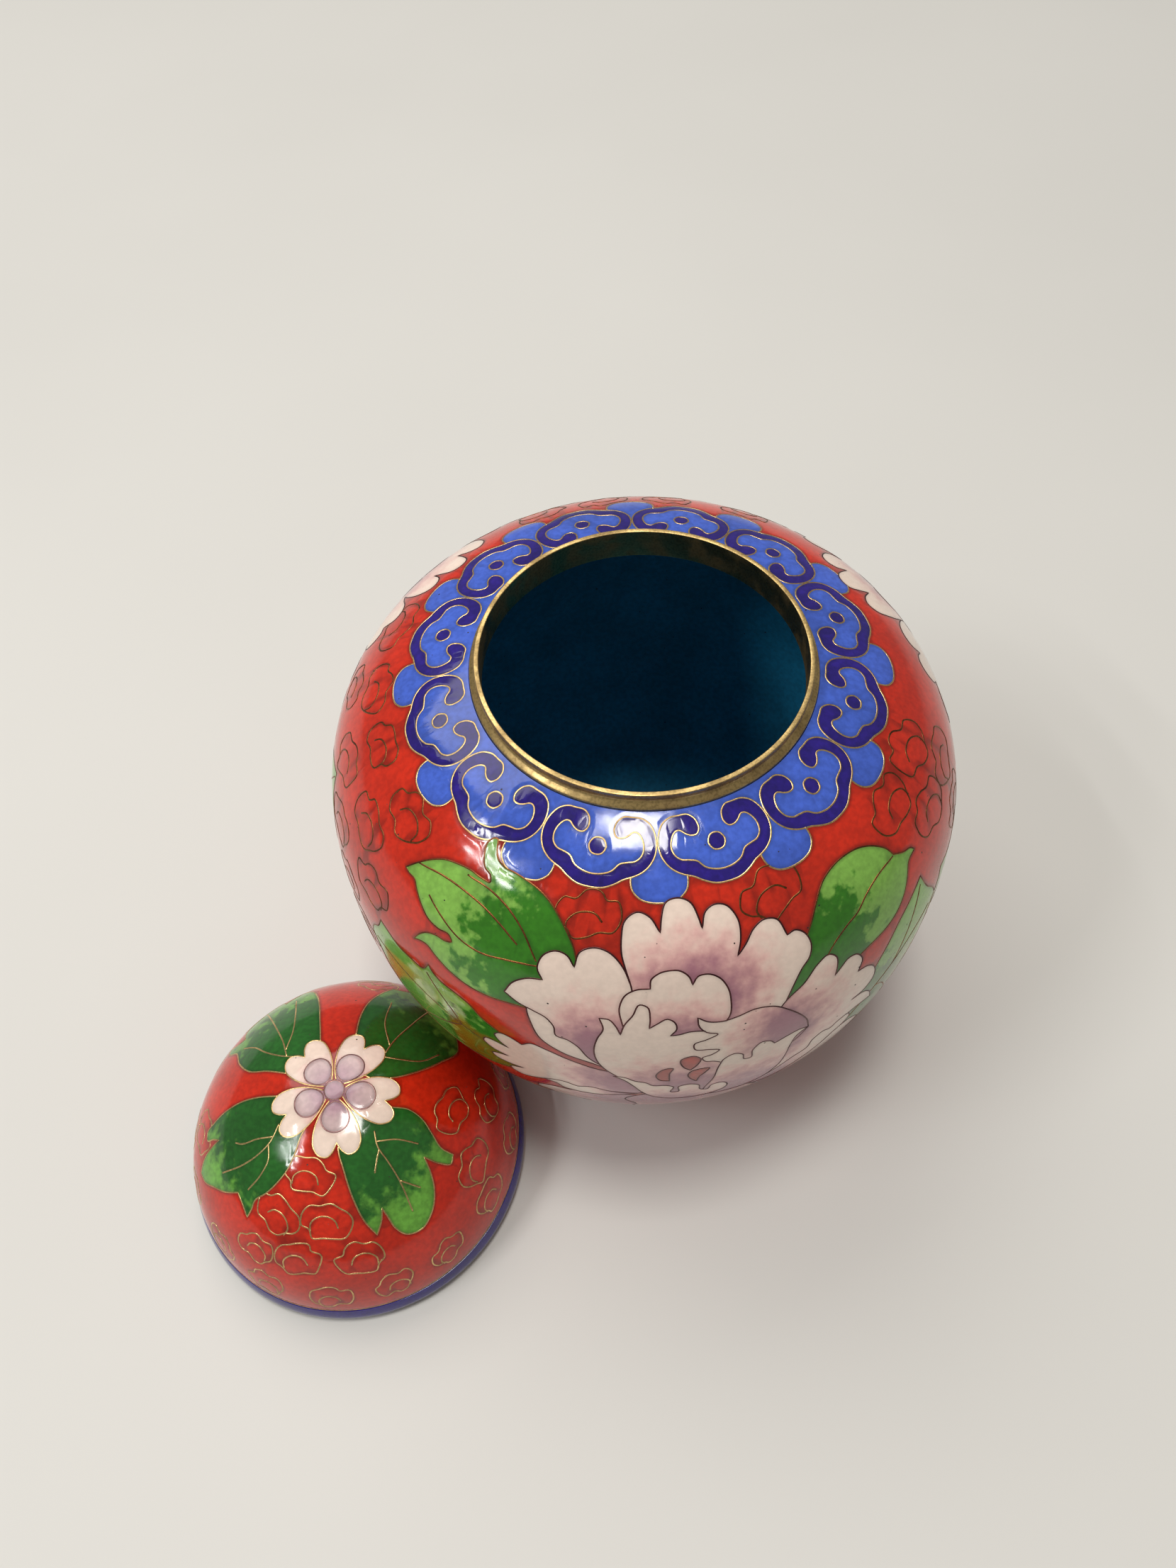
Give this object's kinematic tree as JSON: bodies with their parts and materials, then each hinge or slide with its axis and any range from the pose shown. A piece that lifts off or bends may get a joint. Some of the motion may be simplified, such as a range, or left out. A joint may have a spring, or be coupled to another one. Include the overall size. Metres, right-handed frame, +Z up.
{
  "type": "lidded jar",
  "caption": "Squat round-shouldered enamelled metal jar with a short brass neck ring, and its loose domed lid standing beside it.",
  "frame": {"origin": "on the table, under the middle of the box that holds the jar and the lid beside it", "axes": "+X along the longest side of that box, to the viewer's right; +Y away from the viewer; +Z up, along the jar's and the lid's own axes"},
  "size_m": [0.1438, 0.1308, 0.097],
  "materials": {
    "neck_brass": "brushed gilt brass, worn, with a turned grain",
    "foot_brass": "gilt brass, satin",
    "rim_brass": "gilt brass, satin",
    "copper": null,
    "counter_enamel": "dark teal-blue counter-enamel, glossy with an uneven surface",
    "red_enamel": "bright red enamel with gilt cloud-scroll wires, glossy",
    "light_blue_enamel": "mid-blue enamel, glossy",
    "dark_blue_enamel": "dark blue-violet enamel, glossy",
    "petal_enamel": "cream and pink enamel shading to mauve, with gilt wires, glossy",
    "leaf_enamel": "green enamel shading from light to deep green, with gilt veins, glossy"
  },
  "bodies": {
    "jar": {"jar_copper_body": "copper", "neck_ring": "neck_brass", "foot_ring": "foot_brass", "base_counter_enamel": "counter_enamel", "jar_lining_enamel": "counter_enamel", "collar_field_enamel": "light_blue_enamel", "ruyi_head_01": "dark_blue_enamel", "ruyi_head_02": "dark_blue_enamel", "ruyi_head_03": "dark_blue_enamel", "ruyi_head_04": "dark_blue_enamel", "ruyi_head_05": "dark_blue_enamel", "ruyi_head_06": "dark_blue_enamel", "ruyi_head_07": "dark_blue_enamel", "ruyi_head_08": "dark_blue_enamel", "ruyi_head_09": "dark_blue_enamel", "ruyi_head_10": "dark_blue_enamel", "ruyi_head_11": "dark_blue_enamel", "ruyi_head_12": "dark_blue_enamel", "peony_front_enamel": "petal_enamel", "peony_right_back_enamel": "petal_enamel", "peony_left_back_enamel": "petal_enamel", "leaf_front_upper_left": "leaf_enamel", "leaf_front_upper_right": "leaf_enamel", "leaf_front_lower_left": "leaf_enamel", "leaf_front_lower_right": "leaf_enamel", "leaf_right_back_lower_left": "leaf_enamel", "leaf_right_back_lower_right": "leaf_enamel", "leaf_left_back_lower_left": "leaf_enamel", "leaf_left_back_lower_right": "leaf_enamel", "jar_ground_enamel": "red_enamel"},
    "lid": {"lid_rim_ring": "rim_brass", "lid_copper_shell": "copper", "lid_lining_enamel": "counter_enamel", "lid_border_enamel": "dark_blue_enamel", "lid_blossom_enamel": "petal_enamel", "lid_ground_enamel": "red_enamel", "lid_leaf_front_right": "leaf_enamel", "lid_leaf_front_left": "leaf_enamel", "lid_leaf_back_left": "leaf_enamel", "lid_leaf_back_right": "leaf_enamel"}
  },
  "joints": [
    {"name": "lid_lift", "type": "slide", "parent": "jar", "child": "lid", "axis": [-0.5587, -0.4334, 0.7071], "range_m": [0, 0.08]}
  ]
}
